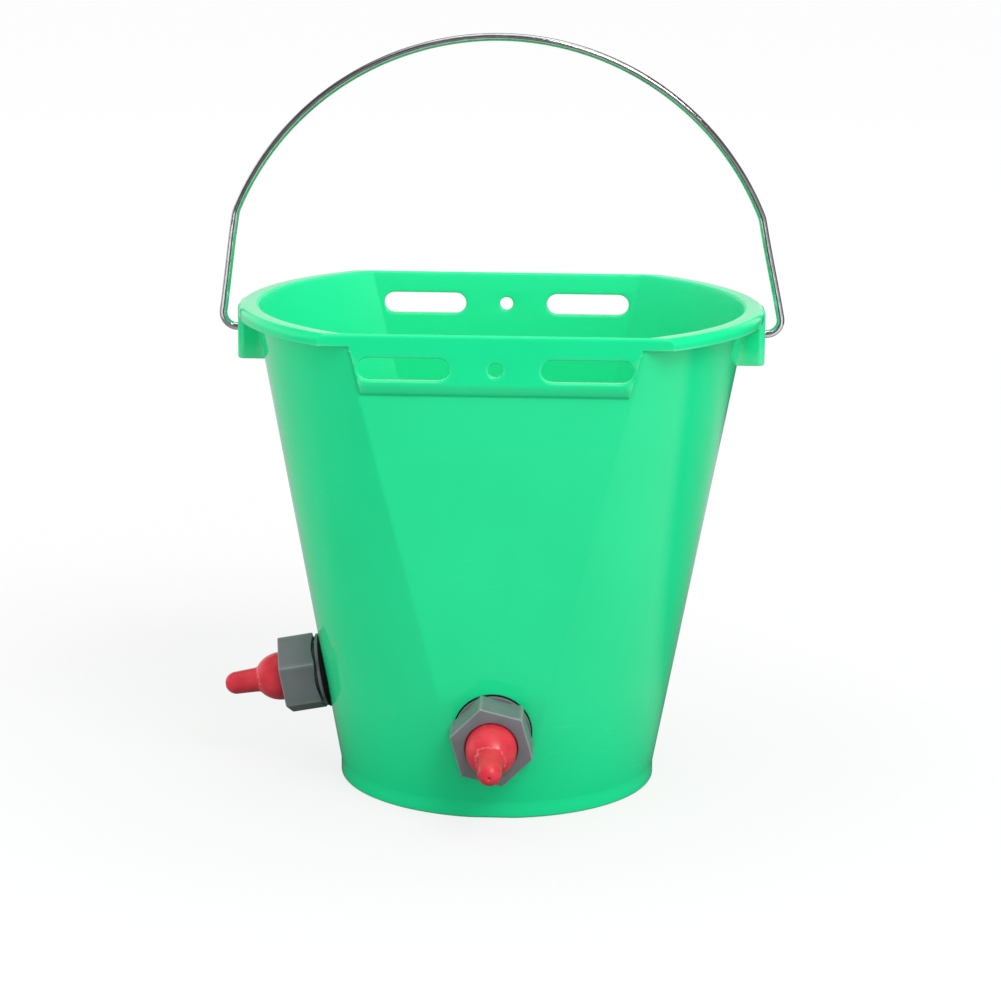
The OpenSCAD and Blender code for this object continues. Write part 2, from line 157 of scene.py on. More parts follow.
def add_piece(name, sheets, finish, body, slot, nodes=(), marks=None, sharp=SHARP):
    """One mesh from sheets. Points that two sheets share are merged, and `marks` are point attributes."""
    counts = [part["grid"].shape[0] * part["grid"].shape[1] for part in sheets]
    firsts = np.cumsum([0] + counts[:-1])
    faces = sum((sheet_faces(part, int(first)) for part, first in zip(sheets, firsts)), [])
    points = np.concatenate([part["grid"].reshape(-1, 3) for part in sheets]) * MM
    mesh = bpy.data.meshes.new(name)
    mesh.from_pydata(points.tolist(), [], faces)
    for mark, values in (marks or {}).items():
        values = np.asarray(values, np.float32)
        kind, field = ("FLOAT_VECTOR", "vector") if values.shape[-1] == 3 else ("FLOAT", "value")
        mesh.attributes.new(mark, kind, "POINT").data.foreach_set(field, values.ravel())
    work = bmesh.new()
    work.from_mesh(mesh)
    bmesh.ops.remove_doubles(work, verts=work.verts, dist=MERGE_M)
    bmesh.ops.delete(work, geom=[point for point in work.verts if not point.link_faces], context="VERTS")
    work.to_mesh(mesh)
    work.free()
    mesh.polygons.foreach_set("use_smooth", np.ones(len(mesh.polygons), bool))
    mesh.set_sharp_from_angle(angle=math.radians(sharp))
    mesh.materials.append(finish)
    piece = bpy.data.objects.new(name, mesh)
    bpy.context.scene.collection.objects.link(piece)
    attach(piece, body)
    if nodes:
        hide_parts(*nodes)
    return piece


def border(grid):
    """The outline of a grid of points, once round."""
    return np.concatenate([grid[0, :-1], grid[:-1, -1], grid[-1, :0:-1], grid[:0:-1, 0]])


def holed_plate(outer, inner, across, middle, half, radius):
    """Rings from a flat plate's inner outline, over the two rounded edges of a slot, to its outer outline.
    Each outline point looks at the nearest point of the slot's middle line, `half` long on both sides of
    its middle, and its ring points lie on that line of sight. Faces are the planes through the outlines."""
    angle = quarter(EDGE_STEPS)[:, None]
    inward, outward = HOLE_EDGE * (1 - np.sin(angle)), HOLE_EDGE * (1 - np.cos(angle))
    plane, depth = [across, 2], 1 - across
    place = outer[:, plane] - middle
    core = np.stack([np.clip(place[:, 0], -half, half), 0 * place[:, 0]], -1)
    away = (place - core) / np.linalg.norm(place - core, axis=1, keepdims=True)
    flat = middle + core + (radius + np.concatenate([inward, outward]))[..., None] * away

    def face(outline):
        """Depth at the ring points of the plane that lies closest to the outline."""
        terms = np.column_stack([np.ones(len(outline)), outline[:, plane]])
        slope = np.linalg.lstsq(terms, outline[:, depth], rcond=None)[0]
        return slope[0] + flat @ slope[1:]

    inside, outside = face(inner), face(outer)
    way = np.sign(outside - inside)
    rings = np.empty(flat.shape[:2] + (3,))
    rings[..., plane] = flat
    rings[..., depth] = np.concatenate([inside[:EDGE_STEPS] + way[:EDGE_STEPS] * outward,
                                        outside[EDGE_STEPS:] - way[EDGE_STEPS:] * inward])
    return np.concatenate([inner[None], rings, outer[None]])


class Unit:
    """Place of a teat unit: its foot on the wall, and its sideways, upward and outward directions."""

    def __init__(self, prefix):
        """Outward is the nut's axis, upward is square to it and nearest to straight up."""
        joint = next(j for j in frame["joints"] if j["name"] == prefix + "_nut_turn")
        self.foot = np.array(joint["pos_m"]) / MM
        out = np.array(joint["axis"]) / np.linalg.norm(joint["axis"])
        up = np.array([0, 0, 1]) - out[2] * out
        up = up / np.linalg.norm(up)
        self.lean = up[2]
        self.axes = np.stack([np.cross(up, out), up, out])

    def place(self, grid):
        """Points of the unit's own directions in the shared frame."""
        return self.foot + grid @ self.axes

    def local(self, points):
        """Points of the shared frame in the unit's own directions."""
        return (points - self.foot) @ self.axes.T


UNITS = {prefix: Unit(prefix) for prefix in ("front", "left")}


# Bucket shapes

ARC_T = steps(-1, 1, 97)
CORNER_T = steps(0, 1, 6)[1:]
SIDE_IN = np.array([0, 0.05, 0.16, 0.32])
SIDE_RISE = np.array([0, 0.55, 0.85, 0.96])
END_CELL, MID_CELL, CELL_T = 22, 14, 0.27
FACE_T = np.concatenate([steps(1, CELL_T, END_CELL + 1), steps(CELL_T, -CELL_T, MID_CELL + 1)[1:],
                         steps(-CELL_T, -1, END_CELL + 1)[1:]])
FACE_FIRST = len(ARC_T) + len(CORNER_T) + len(SIDE_IN)
HALF_COUNT = 2 * FACE_FIRST - len(ARC_T) + len(FACE_T)

# Share of the strip's height over the wall in each column, and the side that each column's flat faces
STRIP_RISE = np.tile(np.concatenate([np.zeros(len(ARC_T) + len(CORNER_T)), SIDE_RISE, np.ones(len(FACE_T)),
                                     SIDE_RISE[::-1], np.zeros(len(CORNER_T))]), 2)
STRIP_FACE = STRIP_Y * np.repeat([1, -1], HALF_COUNT)

# Heights of the rows that inner and outer wall share, those of the strips' windows, and the valves' windows
WALL_Z = steps(10, SLOPE_LOW, 40)
WINDOW_Z = steps(WINDOW_LOW, WINDOW_TOP, 13)
LEFT_WINDOW = 16
VALVE_ROWS = {"front": (4, 10), "left": (5, 12)}
VALVE_COLUMNS = {"front": (HALF_COUNT + FACE_FIRST, len(FACE_T) - 1),
                 "left": (HALF_COUNT + (len(ARC_T) - LEFT_WINDOW) // 2, LEFT_WINDOW)}


def outline(round_r, flat_y, soft, side_x):
    """Level outlines of the bucket, one a row: an arc of radius round_r, the flat at y = flat_y, then both
    again turned by half a turn. A corner is a quadratic curve between the points `soft` away from it on arc
    and flat. The flat's points stand close together at the strip's sides, x = side_x, and evenly between
    them."""
    round_r, flat_y, soft, side_x = np.broadcast_arrays(*map(np.atleast_1d, (round_r, flat_y, soft, side_x)))
    edge_x = np.sqrt(round_r**2 - flat_y**2)
    turn = (np.arcsin(flat_y / round_r) - soft / round_r)[:, None] * ARC_T
    arc = round_r[:, None, None] * np.stack([np.cos(turn), np.sin(turn)], -1)
    corner = np.stack([edge_x, flat_y], -1)[:, None]
    on_flat = np.stack([edge_x - soft, flat_y], -1)[:, None]
    t = CORNER_T[None, :, None]
    bend = (1 - t)**2 * arc[:, -1:] + 2 * t * (1 - t) * corner + t**2 * on_flat
    side = side_x[:, None]
    flat_x = np.concatenate([side - SIDE_IN, (side - STRIP_EDGE) * FACE_T, SIDE_IN[::-1] - side], 1)
    flat = np.stack([flat_x, flat_y[:, None] + 0 * flat_x], -1)
    half = np.concatenate([arc, bend, flat, bend[:, ::-1] * (-1, 1)], 1)
    return np.concatenate([half, -half], 1)


def with_height(xy, z):
    """Level points with their heights as the third coordinate."""
    return np.concatenate([xy, np.broadcast_to(z[..., None], xy.shape[:2] + (1,))], -1)


def as_rows(z):
    """Heights with one row for each, or a row of heights for each row."""
    z = np.atleast_1d(np.asarray(z, float))
    return z[:, None] if z.ndim == 1 else z


def wall_rows(z, inset, soft):
    """Rows of the tapered wall: each column runs straight from the base outline to the mouth outline, both
    drawn in by inset, and is read off at the height z, which may change from column to column."""
    z = as_rows(z)
    inset = np.broadcast_to(inset, z.shape[:1])
    low = outline(BASE_R - inset, BASE_FLAT - inset, soft, BASE_EDGE - STRIP_INSET)
    top = outline(MOUTH_R - inset, MOUTH_FLAT - inset, soft, MOUTH_EDGE - STRIP_INSET)
    return with_height(low + (z / HEIGHT)[..., None] * (top - low), z)


def round_x(z):
    """Radius of the round wall at the height z."""
    return BASE_R + (MOUTH_R - BASE_R) * z / HEIGHT


def strip_side(z):
    """Half the strip's width at the height z: its sides run beside the creases."""
    return BASE_EDGE + (MOUTH_EDGE - BASE_EDGE) * z / HEIGHT - STRIP_INSET


def rim_rows(round_r, facet_y, z, level):
    """Rows of the rim: a circle cut by the facets at y = facet_y, at the height z. On the facets the strip's
    columns stand where its sides are at the height `level`."""
    side = strip_side(np.asarray(level, float))
    return with_height(outline(round_r, facet_y, RIM_CORNER, side), as_rows(z))


def on_strip(rows, rise=1.0, level=None):
    """Rows drawn out to the strips' faces in the strips' columns, by the share `rise`, and there at the
    heights `level`."""
    share = np.broadcast_to(rise, len(rows))[:, None] * STRIP_RISE
    y, z = rows[..., 1], rows[..., 2]
    z = z if level is None else z + share * (np.asarray(level, float)[:, None] - z)
    return np.stack([rows[..., 0], y + share * (STRIP_FACE - y), z], -1)


def rounding(z, radius):
    """How far a quarter-round edge of that radius, ending at the rim's top, draws in at the height z."""
    rise = np.clip((z - (HEIGHT - radius)) / radius, 0, 1)
    return radius * (1 - np.sqrt(1 - rise**2))


def bucket_rows():
    """The moulding but its ears as one sheet of rows: underside, upright foot, wall, slope and face of the
    strips, groove under the rim, skirt, rounded top, inner wall and floor. The rows go by name."""
    angle = quarter(6)
    shrink = np.array([0, 0.35, 0.7, 0.92])[:, None, None]
    foot_z = np.concatenate([FOOT_ROUND * (1 - np.cos(angle)), [FOOT_MIDDLE, FOOT_UPRIGHT]])
    foot_in = np.concatenate([FOOT_ROUND * (1 - np.sin(angle)), [0, 0]])
    foot = wall_rows(foot_z, foot_in - (MOUTH_R - BASE_R) / HEIGHT * (FOOT_UPRIGHT - foot_z), CREASE)
    slope = steps(0, 1, 8)[1:-1]
    slope_z = SLOPE_LOW + (STRIP_LOW - SLOPE_LOW) * slope
    slope_rise = 0.5 * slope + 0.5 * np.sqrt(1 - (1 - slope)**2)
    half_groove = np.concatenate([1 - np.clip((abs(ARC_T) - GROOVE_END) / GROOVE_FADE, 0, 1),
                                  np.zeros(HALF_COUNT - len(ARC_T))])
    groove_z = SKIRT_Z + (HEIGHT - SKIRT_T - SKIRT_Z) * np.tile(half_groove, 2)[None]
    inside_r, inside_y = RIM_R - SKIRT_T, STRIP_Y - GROOVE_IN
    face_z = SKIRT_Z + SKIRT_ROUND
    under_z = steps(WINDOW_Z[-1], face_z, 8)[1:-1]
    bottom = rim_rows(np.array([inside_r + SKIRT_ROUND, RIM_R - SKIRT_ROUND, RIM_R - SKIRT_EASE]),
                      np.array([inside_y + 0.1, STRIP_Y - SKIRT_ROUND, STRIP_Y - SKIRT_EASE]),
                      SKIRT_Z + np.array([0, 0, SKIRT_EASE]), under_z[3:])
    skirt_z = steps(face_z, HEIGHT - RIM_ROUND, 3)
    top_z = HEIGHT - RIM_ROUND * (1 - np.sin(quarter(14)[1:]))
    top_r, top_y = RIM_R - rounding(top_z, RIM_ROUND), STRIP_Y - rounding(top_z, FACET_ROUND)
    lip_z = HEIGHT - MOUTH_ROUND * (1 - np.cos(angle))
    lip_in = WALL - MOUTH_ROUND * (1 - np.sin(angle))
    floor_z = FLOOR + FLOOR_ROUND * (1 - np.sin(angle))
    floor_in = WALL + FLOOR_ROUND * (1 - np.cos(angle))
    floor = wall_rows(floor_z, floor_in, INNER_CREASE)
    return {
        "underside": foot[:1] * shrink,
        "foot": foot,
        "wall": wall_rows(WALL_Z, 0, CREASE),
        "slope": on_strip(wall_rows(slope_z, 0, CREASE), slope_rise),
        "strip foot": on_strip(wall_rows(STRIP_LOW, 0, CREASE)),
        "window": on_strip(wall_rows(WINDOW_Z, 0, CREASE)),
        "groove top": on_strip(wall_rows(groove_z, 0, CREASE), 1.0, under_z[:1]),
        "groove": on_strip(rim_rows(inside_r, inside_y, groove_z, under_z[1:2]), 1.0, under_z[1:2]),
        "skirt inside": on_strip(rim_rows(inside_r, inside_y, face_z, under_z[2:3]), 1.0, under_z[2:3]),
        "skirt bottom": on_strip(bottom, 1.0, under_z[3:]),
        "skirt face": rim_rows(RIM_R, STRIP_Y, skirt_z, skirt_z),
        "rim top": rim_rows(top_r, top_y, top_z, top_z),
        "lip": wall_rows(lip_z, lip_in, INNER_CREASE),
        "inner top": wall_rows(steps(lip_z[-1], WINDOW_Z[-1], 4)[1:-1], WALL, INNER_CREASE),
        "inner window": wall_rows(WINDOW_Z[::-1], WALL, INNER_CREASE),
        "inner slope": wall_rows(steps(STRIP_LOW, SLOPE_LOW, 3)[:-1], WALL, INNER_CREASE),
        "inner wall": wall_rows(WALL_Z[::-1], WALL, INNER_CREASE),
        "floor edge": floor,
        "floor": floor[-1:] * shrink[::-1] * (1, 1, 0) + (0, 0, FLOOR),
    }


def wall_hole(prefix, outer, inner):
    """Rings from the inner wall's outline round a valve, through the stem's hole, to the outer wall's
    outline. In the unit's own directions the wall falls away by the bend times the square of the sideways
    place."""
    unit, bend = UNITS[prefix], WALL_BEND[prefix]
    inwards = np.array([0, 0.4, 0.75, 1])[:, None]
    rings = []
    for points, sunk, share in ((inner, WALL * unit.lean, inwards), (outer, 0, inwards[::-1])):
        local = unit.local(points)
        place = local[:, :2]
        hole = STEM_HOLE_R * place / np.linalg.norm(place, axis=1, keepdims=True)
        stray = local[:, 2] + bend * local[:, 0]**2 + sunk
        flat = place + share[..., None] * (hole - place)
        height = (1 - share) * stray - bend * flat[..., 0]**2 - sunk
        rings.append(np.concatenate([flat, height[..., None]], -1))
    return unit.place(np.concatenate(rings))


def bucket_sheets():
    """The moulding's rows with windows left open, and in the windows the plates that carry the slots, the
    screw holes and the valves' holes."""
    parts = bucket_rows()
    first = dict(zip(parts, np.cumsum([0] + [len(part) for part in parts.values()])))
    rows = np.concatenate(list(parts.values()))
    stay = np.ones((len(rows) - 1, rows.shape[1]), bool)

    def open_window(outer_row, inner_row, count, column, width):
        """Leaves out the quads of a window in both walls, and gives its outer and inner outlines."""
        columns = slice(column, column + width)
        wide = slice(column, column + width + 1)
        stay[outer_row:outer_row + count, columns] = False
        stay[inner_row:inner_row + count, columns] = False
        inner = rows[inner_row:inner_row + count + 1, wide][::-1]
        return border(rows[outer_row:outer_row + count + 1, wide]), border(inner)

    plates = []
    slots_and_hole = ((END_CELL, SLOT_X, SLOT_HALF, SLOT_R), (MID_CELL, 0.0, 0.0, HOLE_R),
                      (END_CELL, -SLOT_X, SLOT_HALF, SLOT_R))
    for flat, way in ((0, 1), (HALF_COUNT, -1)):
        column = flat + FACE_FIRST
        for width, x, half, radius in slots_and_hole:
            outer, inner = open_window(first["window"], first["inner window"], len(WINDOW_Z) - 1,
                                       column, width)
            plates.append(holed_plate(outer, inner, 0, (way * x, SLOT_Z), half, radius))
            column += width
    for prefix, (low, high) in VALVE_ROWS.items():
        inner_row = first["inner wall"] + len(WALL_Z) - 1 - high
        outer, inner = open_window(first["wall"] + low, inner_row, high - low, *VALVE_COLUMNS[prefix])
        plates.append(wall_hole(prefix, outer, inner))
    return [sheet(rows, ring=True, stay=stay)] + [sheet(plate, ring=True, turned=True) for plate in plates]


def ear_sheets(side):
    """A hollow ear: an upright plate bent round in plan, from the wall over two rounded edges back to the
    wall. Its rows go up outside, over the rounded top, down inside and round the lower edge. The bail's hole
    goes through its face."""
    arc, turn = quarter(8), quarter(6)[1:]
    hole_z = PIVOT_Z + steps(-EAR_WINDOW, EAR_WINDOW, 7)
    top = EAR_TOP - EAR_TOP_ROUND
    outer_z = np.concatenate([EAR_LOW + EAR_EDGE_UP[:1], hole_z, [SKIRT_Z, top]])
    inner_z = np.concatenate([[SKIRT_Z], hole_z[::-1], EAR_LOW + EAR_EDGE_UP[:1]])
    level = np.concatenate([outer_z, top + EAR_TOP_ROUND * np.sin(turn), inner_z, EAR_LOW + EAR_EDGE_UP[1:]])
    inset = np.concatenate([0 * outer_z, EAR_TOP_ROUND * (1 - np.cos(turn)), EAR_T + 0 * inner_z, EAR_EDGE_IN])
    level, inset = level[:, None], inset[:, None]
    radius = np.maximum(EAR_ROUND - inset, EAR_LEAST_ROUND)
    corner_x, corner_y = EAR_X - inset - radius, EAR_HALF - inset - radius
    wall_x = round_x(level) - EAR_SUNK
    run = wall_x + (corner_x - wall_x) * EAR_RUN
    bend_x, bend_y = corner_x + radius * np.sin(arc), corner_y + radius * np.cos(arc)
    face_y = steps(-EAR_WINDOW, EAR_WINDOW, 9) + 0 * inset
    web_y = EAR_HALF - inset + 0 * run
    x = np.concatenate([run, bend_x, EAR_X - inset + 0 * face_y, bend_x[:, ::-1], run[:, ::-1]], 1)
    y = np.concatenate([-web_y, -bend_y, face_y, bend_y[:, ::-1], web_y], 1)
    plate = np.stack([x, y, level + 0 * x], -1)
    stay = np.ones((len(plate), x.shape[1] - 1), bool)
    high, wide, column = len(hole_z), face_y.shape[1], run.shape[1] + len(arc)
    windows = []
    for row in (1, len(outer_z) + len(turn) + 1):
        stay[row:row + high - 1, column:column + wide - 1] = False
        windows.append(plate[row:row + high, column:column + wide])
    eye = holed_plate(border(windows[0]), border(windows[1][::-1]), 1, (0, PIVOT_Z), 0.0, WIRE_R + PIVOT_CLEAR)
    way = np.array([side, side, 1])
    return [sheet(plate * way, loop=True, stay=stay, ends="columns"),
            sheet(eye * way, ring=True, turned=True)]


# Bail

def bail_line():
    """Middle line of the bail's wire from end to end in its own plane: straight end, foot bend, leg, knee,
    bow, and the same again on the other side. Gives places (x, z) and the outward normals."""
    lean, knee = LEG_LEAN, LEG_LEAN + KNEE_TURN
    foot_mid = np.array([EAR_X + BAIL_SIDE_GAP, FOOT_BEND])
    along = np.array([-math.sin(lean), math.cos(lean)])
    away = np.array([math.cos(lean), math.sin(lean)])
    leg_end = foot_mid + FOOT_BEND * away + LEG_LENGTH * along
    knee_mid = leg_end - KNEE_BEND * away
    knee_end = knee_mid + KNEE_BEND * np.array([math.cos(knee), math.sin(knee)])
    bow_r = knee_end[0] / math.cos(knee)
    bow_mid = np.array([0, knee_end[1] - bow_r * math.sin(knee)])

    def bend(mid, radius, start, end, count):
        """Places and normals on a circle's arc."""
        turn = steps(start, end, count)
        normal = np.stack([np.cos(turn), np.sin(turn)], -1)
        return mid + radius * normal, normal

    tip_x = np.concatenate([[0, 0.5], steps(1.5, BAIL_INSIDE + BAIL_SIDE_GAP, 6)[:-1]]) + EAR_X - BAIL_INSIDE
    straight = np.stack([tip_x, 0 * tip_x], -1), np.tile([0.0, -1.0], (len(tip_x), 1))
    leg = (leg_end + steps(-LEG_LENGTH, 0, 14)[1:-1, None] * along, np.tile(away, (12, 1)))
    half = [straight, bend(foot_mid, FOOT_BEND, -math.pi / 2, lean, 16), leg,
            bend(knee_mid, KNEE_BEND, lean, knee, 8), bend(bow_mid, bow_r, knee, math.pi / 2, 60)]
    place, normal = (np.concatenate([part[k] for part in half]) for k in (0, 1))
    mirror = np.array([-1, 1])
    return (np.concatenate([place, place[-2::-1] * mirror]),
            np.concatenate([normal, normal[-2::-1] * mirror]))


def bail_sheet():
    """The wire: a circle carried along the middle line, with chamfered ends. In its loose holes the bow
    stands a little to the left of the middle, by a smooth step up the legs. Also gives each point's place
    along and across the wire."""
    place, normal = bail_line()
    radius = np.full(len(place), WIRE_R)
    radius[[0, -1]] = WIRE_R - WIRE_CHAMFER
    turn = np.arange(WIRE_SIDES) / WIRE_SIDES * 2 * math.pi
    in_plane, across = radius[:, None] * np.cos(turn), radius[:, None] * np.sin(turn)
    climb = np.clip(place[:, 1:] / SLACK_HEIGHT, 0, 1)
    x = place[:, :1] + in_plane * normal[:, :1] - BAIL_SLACK * climb**2 * (3 - 2 * climb)
    z = place[:, 1:] + in_plane * normal[:, 1:] + PIVOT_Z
    length = np.concatenate([[0], np.cumsum(np.linalg.norm(np.diff(place, axis=0), axis=1))])
    mark = np.stack([np.broadcast_to(length[:, None], x.shape), in_plane, across], -1) * MM
    return sheet(np.stack([x, across, z], -1), ring=True, ends="rows"), mark


# Teat units

ROUND = np.arange(96) / 96 * 2 * math.pi


def soften(points, length, count=5):
    """A line of points with its inner corners rounded: each becomes a quadratic curve between the points
    that lie the given length away from it on its two sides."""
    points = np.asarray(points, float)
    corner = points[1:-1, None]
    before, after = points[:-2, None] - corner, points[2:, None] - corner
    start = corner + before / np.linalg.norm(before, axis=-1, keepdims=True) * length
    end = corner + after / np.linalg.norm(after, axis=-1, keepdims=True) * length
    t = steps(0, 1, count)[None, :, None]
    curve = (1 - t)**2 * start + 2 * t * (1 - t) * corner + t**2 * end
    return np.concatenate([points[:1], curve.reshape(-1, 2), points[-1:]])


def turned_grid(profile, angles=ROUND):
    """A profile of (radius, height) turned round the unit's axis."""
    radius, height = profile[:, :1], profile[:, 1:] + 0 * angles
    return np.stack([radius * np.cos(angles), radius * np.sin(angles), height], -1)


def thread(height, angles, low, high, crest, root):
    """Radius of a screw thread: a flattened ridge that climbs one pitch a turn, fading out at both ends."""
    phase = (height[:, None] / PITCH - angles / (2 * math.pi)) % 1
    ridge = np.clip(1.5 - 4 * abs(phase - 0.5), 0, 1)
    fade = np.clip(np.minimum(height - low, high - height) / (THREAD_FADE * PITCH), 0, 1)[:, None]
    return root + (crest - root) * ridge * fade


def teat_profile():
    """Closed profile of the rubber teat: sleeve, flange, elliptic bulb, a short hollow curve into the tapered
    nipple, its rounded tip with a dimple, then its inside back to the sleeve."""
    flange = soften([(THROAT_R, SLEEVE_END), (SLEEVE_R, SLEEVE_END), (SLEEVE_R, SPIGOT_END),
                     (SPIGOT_R, SPIGOT_END), (SPIGOT_R, FLANGE_FACE), (BULB_R, FLANGE_FACE),
                     (BULB_R, BULB_MID - 1)], FLANGE_EDGE, 4)
    turn = steps(math.pi / 2, math.asin((ROOT_R + NECK_OUT) / BULB_R), 28)
    bulb = np.stack([BULB_R * np.sin(turn), BULB_MID + BULB_LENGTH * np.cos(turn)], -1)
    root_u = BULB_MID + BULB_LENGTH * math.sqrt(1 - (ROOT_R / BULB_R)**2)
    root, neck_end = np.array([ROOT_R, root_u]), np.array([ROOT_R, root_u + NECK_RUN])
    t = steps(0, 1, 8)[1:, None]
    neck = (1 - t)**2 * bulb[-1] + 2 * t * (1 - t) * root + t**2 * neck_end
    shank_u = steps(root_u + SHANK_START, DUCT_END, 8)
    shank = np.stack([ROOT_R + (TIP_R - ROOT_R) * (shank_u - root_u) / (DUCT_END - root_u), shank_u], -1)
    cap = steps(0, TIP_TURN, 14)[1:]
    tip = np.stack([TIP_R * np.cos(cap), DUCT_END + TIP_R * np.sin(cap)], -1)
    dimple = np.array([(1.3, TIP_END - 0.3), (0.9, TIP_END - 0.5), (MILK_R, TIP_END - 0.9),
                       (MILK_R, DUCT_END + 0.5)])
    duct = np.array([(DUCT_R - 0.6, DUCT_END), (DUCT_R, DUCT_END - 0.6)])
    hollow_turn = steps(math.asin(DUCT_R / HOLLOW_R), math.asin(THROAT_R / HOLLOW_R), 14)
    hollow = np.stack([HOLLOW_R * np.sin(hollow_turn), BULB_MID + HOLLOW_LENGTH * np.cos(hollow_turn)], -1)
    return np.concatenate([flange, bulb, neck, shank, tip, dimple, duct, hollow])


def teat_grid(droop):
    """The teat, its part ahead of the cap nut sagging by a power of the distance, and a mark: the distance
    along the axis from the ring where bulb and nipple meet, within its reach, and the whole reach inside."""
    profile = teat_profile()
    grid = turned_grid(profile)
    ahead = np.clip((grid[..., 2] - NUT_FACE) / (TIP_END - NUT_FACE), 0, 1)
    grid[..., 1] -= droop * ahead**DROOP_POWER
    root_u = BULB_MID + BULB_LENGTH * math.sqrt(1 - ((ROOT_R + ROOT_LINE_OUT) / BULB_R)**2)
    outside = np.arange(len(profile)) <= profile[:, 1].argmax()
    mark = np.where(outside, np.clip(profile[:, 1] - root_u, -ROOT_REACH, ROOT_REACH), ROOT_REACH)
    return grid, np.broadcast_to(mark[:, None], grid.shape[:2])


def hexagon(flat_r, corner_r, turn):
    """A hexagon's outline with its corners rounded, as points from corner to corner."""
    corner = turn + np.arange(6) * math.pi / 3
    mid = (flat_r - corner_r) / math.cos(math.pi / 6) * np.stack([np.cos(corner), np.sin(corner)], -1)
    swing = corner[:, None] + steps(-math.pi / 6, math.pi / 6, 7)
    arc = mid[:, None] + corner_r * np.stack([np.cos(swing), np.sin(swing)], -1)
    t = steps(0, 1, 14)[None, 1:-1, None]
    run = (1 - t) * arc[:, -1:] + t * np.roll(arc, -1, 0)[:, :1]
    return np.concatenate([arc, run], 1).reshape(-1, 2)


# Corner share of the nuts' edge mark, where the grey finish paints highlights
CORNER_MARK = np.tile(np.concatenate([[0.3, 0.8, 1, 1, 1, 0.8, 0.3], np.zeros(12)]), 6)


def nut_grid(flat_r, corner_r, turn, low, high, front_edge, back_edge, scallop, inside):
    """A hexagonal nut as rings: up the flats with rounded edges at both ends, and down the turned inside,
    whose rings (radius by angle, height) follow the same angles as the hexagon's points. The back end is
    hollowed by the scallop's depth in the middle of each flat and falls to nothing near the corners, as a
    parabola of the angle. The mark is high on rounded edges and corners."""
    angle = quarter(EDGE_STEPS)
    inset = np.concatenate([back_edge * (1 - np.sin(angle)), front_edge * (1 - np.cos(angle))])
    height = np.concatenate([low + back_edge * (1 - np.cos(angle)), high - front_edge * (1 - np.sin(angle))])
    rings = np.stack([hexagon(flat_r - i, max(corner_r - 0.5 * i, CORNER_LEAST), turn) for i in inset])
    widest = rings[EDGE_STEPS - 1]
    angles = np.arctan2(widest[:, 1], widest[:, 0])
    from_flat = (angles - turn) % (math.pi / 3) - math.pi / 6
    hollow = scallop * np.clip(1 - (from_flat / SCALLOP_TURN)**2, 0, 1)
    at_back = np.repeat([1, 0], EDGE_STEPS)[:, None]
    outer = np.concatenate([rings, (height[:, None] + at_back * hollow)[..., None]], -1)
    radius, level = inside(angles)
    level = level[:, None] + np.zeros_like(radius)
    level[-1] += hollow
    inner = np.stack([radius * np.cos(angles), radius * np.sin(angles), level], -1)
    rounded = np.tile(np.sin(2 * angle), 2)[:, None]
    off_faces = np.concatenate([[0], np.ones(2 * EDGE_STEPS - 2), [0]])[:, None]
    # Edge mark, which the grey finish paints as highlight
    edge = np.concatenate([np.maximum(rounded, CORNER_MARK * off_faces), np.zeros(inner.shape[:2])])
    return np.concatenate([outer, inner]), edge


def cap_inside(angles):
    """Inside of the cap nut from the front: rounded lip hole, the lip's inner face, the threaded bore, and
    the wide cone at its back."""
    lip = np.array([(LIP_R + 0.9, NUT_FACE), (LIP_R + 0.45, NUT_FACE - 0.08), (LIP_R + 0.12, NUT_FACE - 0.4),
                    (LIP_R, NUT_FACE - 0.9), (LIP_R, FLANGE_FACE + 0.3), (LIP_R + 0.3, FLANGE_FACE),
                    (NUT_BORE - 0.3, FLANGE_FACE), (NUT_BORE, FLANGE_FACE - 0.3)])
    bore = steps(FLANGE_FACE - 0.6, BORE_LOW, 40)
    cut = thread(bore, angles, BORE_LOW, SPIGOT_END, NUT_BORE + THREAD_DEPTH, NUT_BORE)
    mouth = np.array([(NUT_BORE + 0.4, NUT_BACK + 2.8), (NUT_FLAT - 0.8, NUT_BACK)])
    radius = np.concatenate([lip[:, :1] + 0 * angles, cut, mouth[:, :1] + 0 * angles])
    return radius, np.concatenate([lip[:, 1], bore, mouth[:, 1]])


def lock_inside(angles):
    """Inside of the lock nut from its outer face inwards: a chamfer, the threaded bore and a chamfer."""
    bore = steps(WASHER_FACE - LOCK_CHAMFER, LOCK_LOW + LOCK_CHAMFER, 24)
    cut = thread(bore, angles, LOCK_LOW, WASHER_FACE, STEM_HOLE_R + THREAD_DEPTH, STEM_HOLE_R)
    ends = np.full((1, len(angles)), STEM_HOLE_R + LOCK_CHAMFER)
    return np.concatenate([ends, cut, ends]), np.concatenate([[WASHER_FACE], bore, [LOCK_LOW]])


